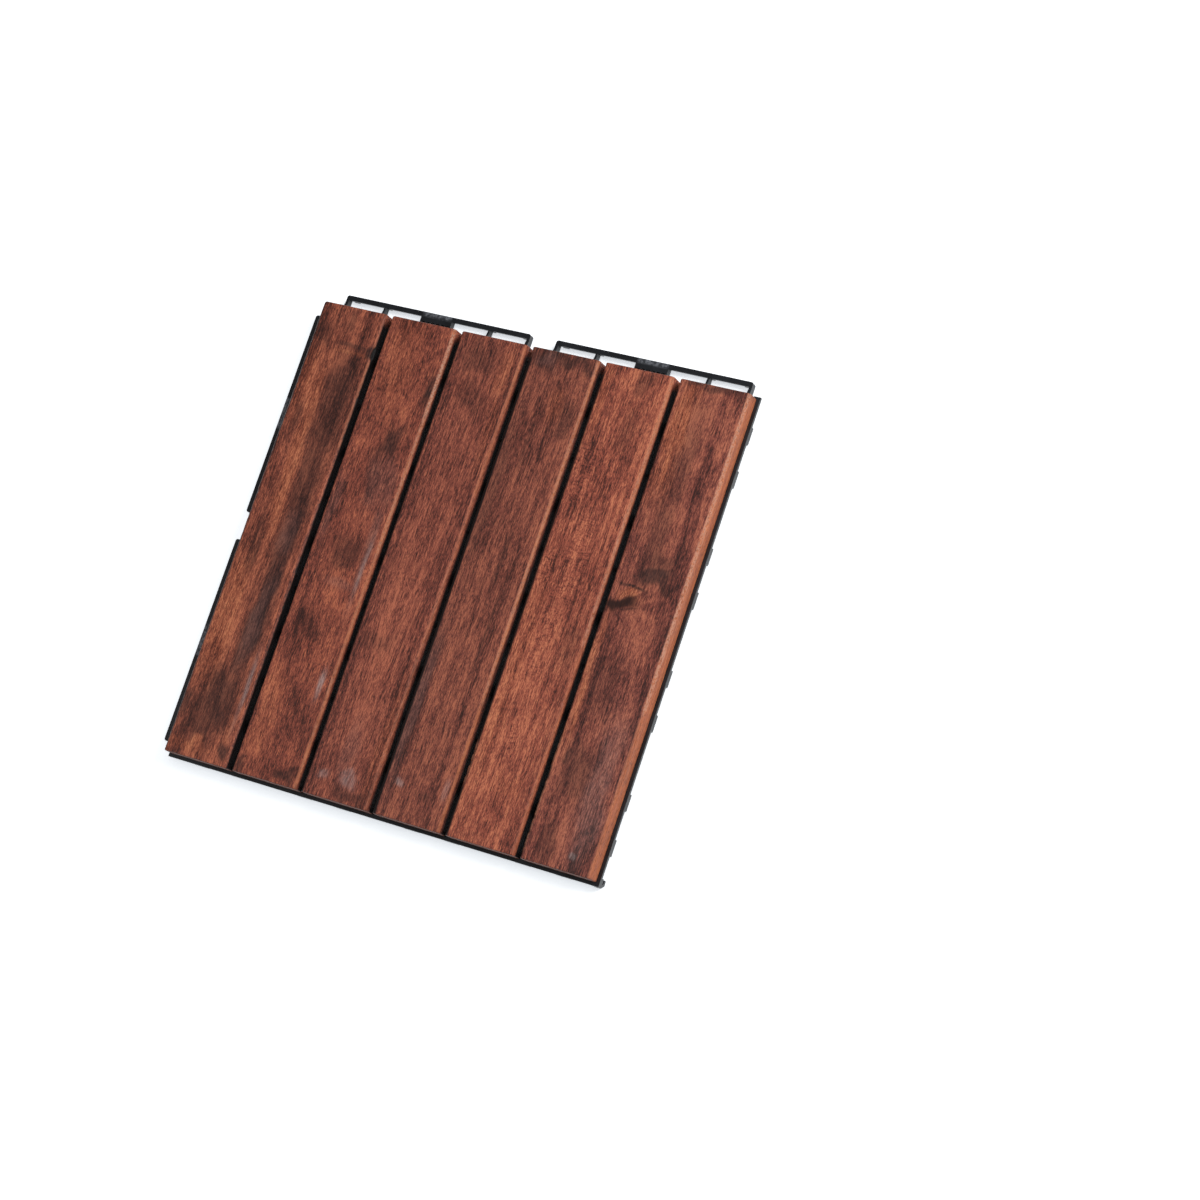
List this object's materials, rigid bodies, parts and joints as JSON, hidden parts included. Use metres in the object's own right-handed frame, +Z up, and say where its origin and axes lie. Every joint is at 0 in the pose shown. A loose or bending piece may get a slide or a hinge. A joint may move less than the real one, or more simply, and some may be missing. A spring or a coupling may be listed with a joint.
{
  "type": "interlocking deck tile",
  "caption": "Square outdoor deck tile: stained hardwood slats screwed to a black plastic lattice base with snap loops and snap tabs at its edges.",
  "frame": {"origin": "middle of the square of slats, on the plane that the feet stand on", "axes": "+X across the slats, +Y along the slats, +Z up; snap loops on the -X and +Y sides, snap tabs on the +X and -Y sides"},
  "size_m": [0.3127, 0.3127, 0.02],
  "materials": {
    "stained_hardwood": "planed hardwood with a dark red-brown oil stain, eased edges",
    "black_plastic": "injection-moulded black polypropylene with a soft sheen",
    "zinc_plated_steel": "bright zinc-plated wood screws"
  },
  "bodies": {
    "root": {"base_grid": "black_plastic", "slat_1": "stained_hardwood", "slat_2": "stained_hardwood", "slat_3": "stained_hardwood", "slat_4": "stained_hardwood", "slat_5": "stained_hardwood", "slat_6": "stained_hardwood", "slat_screws": "zinc_plated_steel"}
  },
  "joints": []
}
